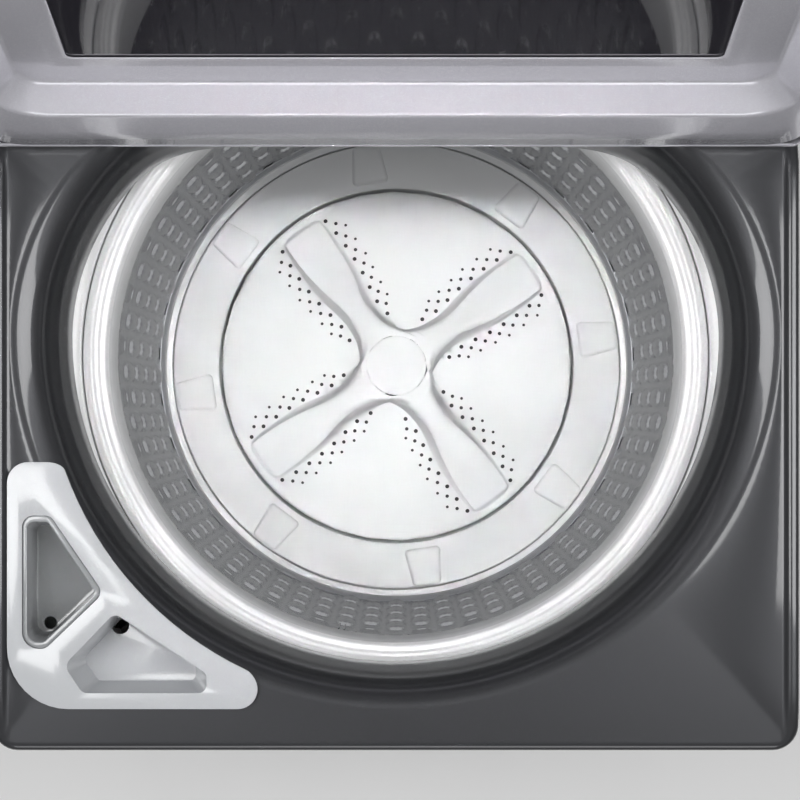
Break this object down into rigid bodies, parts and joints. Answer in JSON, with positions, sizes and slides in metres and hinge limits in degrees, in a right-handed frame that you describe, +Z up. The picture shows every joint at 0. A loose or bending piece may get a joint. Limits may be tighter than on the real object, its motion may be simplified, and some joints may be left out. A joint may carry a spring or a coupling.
{
  "type": "top load washing machine",
  "caption": "Top loading washer with its lid open: perforated steel basket, low wash plate with raised arms, balance ring and corner dispenser tray.",
  "frame": {"origin": "on the floor, under the middle of the cabinet and under the tub's axis", "axes": "+Z up along the tub's axis, -Y towards the person using it, +X to that person's right"},
  "size_m": [0.698, 0.69, 1.4759],
  "materials": {
    "deck_paint": "gloss",
    "cabinet_paint": "gloss",
    "galvanised": "satin",
    "stainless": "bright",
    "white_plastic": "gloss",
    "tray_plastic": "gloss",
    "smoked_plastic": "gloss",
    "tub_plastic": "matt",
    "lid_paint": "gloss",
    "tinted_glass": "gloss",
    "chrome": "polished",
    "rubber": "matt",
    "console_plastic": "gloss",
    "fascia_plastic": "gloss",
    "button_plastic": "satin",
    "board": "satin",
    "steel": "satin",
    "cast": "satin",
    "motor_steel": "matt",
    "black_plastic": "matt",
    "bronze": "satin"
  },
  "bodies": {
    "cabinet": {"cabinet_wrap": "cabinet_paint", "rear_panel": "galvanised", "base_frame": "galvanised", "levelling_feet": "rubber", "foot_lock_nuts": "steel", "top_deck": "deck_paint", "dispenser_tray": "tray_plastic", "bleach_cup": "smoked_plastic", "hinge_arms": "steel", "lid_lock_housing": "black_plastic", "console_housing": "console_plastic", "console_fascia": "fascia_plastic", "display_window": "fascia_plastic", "control_board": "board", "water_valve": "white_plastic", "fill_hose": "rubber", "fill_nozzle": "white_plastic", "drain_fitting": "black_plastic", "drain_hose": "rubber", "power_gland": "black_plastic", "corner_brackets": "galvanised", "rod_seats": "white_plastic", "suspension_rods": "steel", "drain_pump": "black_plastic"},
    "lid": {"lid_shell": "lid_paint", "lid_inner_pan": "lid_paint", "lid_glass": "tinted_glass", "lid_handle": "chrome", "lid_strike": "steel", "lid_bumpers": "rubber", "hinge_pins": "steel"},
    "lid_lock_bolt": {"lock_bolt": "steel"},
    "knob": {"cycle_knob": "chrome"},
    "button_1": {"option_button_1": "button_plastic"},
    "button_2": {"option_button_2": "button_plastic"},
    "button_start": {"start_button": "button_plastic"},
    "pump_rotor": {"pump_impeller": "white_plastic"},
    "tub": {"outer_tub": "tub_plastic", "tub_ring": "white_plastic", "bearing_housing": "cast", "bearings": "steel", "shaft_seal": "rubber", "clutch_housing": "cast", "motor_bracket": "galvanised", "motor_body": "motor_steel", "damper_cups": "white_plastic", "suspension_springs": "steel", "sump_hose": "rubber", "drive_belt": "rubber"},
    "basket": {"basket_wall": "stainless", "basket_base": "white_plastic", "balance_ring": "white_plastic", "spin_tube": "steel", "sleeve_bushes": "bronze"},
    "agitator": {"wash_plate": "white_plastic", "wash_plate_bolt": "steel", "centre_cap": "white_plastic", "drive_shaft": "steel", "drive_pulley": "cast"},
    "motor_rotor": {"motor_pulley": "steel"}
  },
  "joints": [
    {"name": "lid_hinge", "type": "hinge", "parent": "cabinet", "child": "lid", "pos_m": [0, 0.1915, 0.968], "axis": [1, 0, 0], "range_deg": [0, 104]},
    {"name": "lid_lock_bolt_slide", "type": "slide", "parent": "cabinet", "child": "lid_lock_bolt", "axis": [1, 0, 0], "range_m": [0, 0.014], "stiffness_N_per_m": 60},
    {"name": "cycle_knob_turn", "type": "hinge", "parent": "cabinet", "child": "knob", "pos_m": [0, 0.26983, 1.02156], "axis": [0, -0.8827, 0.4698], "continuous": true},
    {"name": "option_button_1_press", "type": "slide", "parent": "cabinet", "child": "button_1", "axis": [0, 0.8827, -0.4698], "range_m": [0, 0.003], "stiffness_N_per_m": 500},
    {"name": "option_button_2_press", "type": "slide", "parent": "cabinet", "child": "button_2", "axis": [0, 0.8827, -0.4698], "range_m": [0, 0.003], "stiffness_N_per_m": 500},
    {"name": "start_button_press", "type": "slide", "parent": "cabinet", "child": "button_start", "axis": [0, 0.8827, -0.4698], "range_m": [0, 0.003], "stiffness_N_per_m": 500},
    {"name": "pump_spin", "type": "hinge", "parent": "cabinet", "child": "pump_rotor", "pos_m": [-0.15, -0.238, 0.13], "axis": [0, 0, 1], "continuous": true},
    {"name": "tub_bounce", "type": "slide", "parent": "cabinet", "child": "tub", "axis": [0, 0, 1], "range_m": [-0.03, 0.015], "stiffness_N_per_m": 9000, "springref_m": 0.03706, "deforming": ["suspension_springs", "sump_hose"]},
    {"name": "basket_spin", "type": "hinge", "parent": "tub", "child": "basket", "pos_m": [0, 0, 0.3], "axis": [0, 0, 1], "continuous": true},
    {"name": "wash_plate_turn", "type": "hinge", "parent": "tub", "child": "agitator", "pos_m": [0, 0, 0.3], "axis": [0, 0, 1], "continuous": true},
    {"name": "motor_spin", "type": "hinge", "parent": "tub", "child": "motor_rotor", "pos_m": [0.178, 0, 0.15], "axis": [0, 0, 1], "continuous": true}
  ],
  "couplings": [
    {"joint": "motor_spin", "follows": "wash_plate_turn", "ratio": 5}
  ]
}
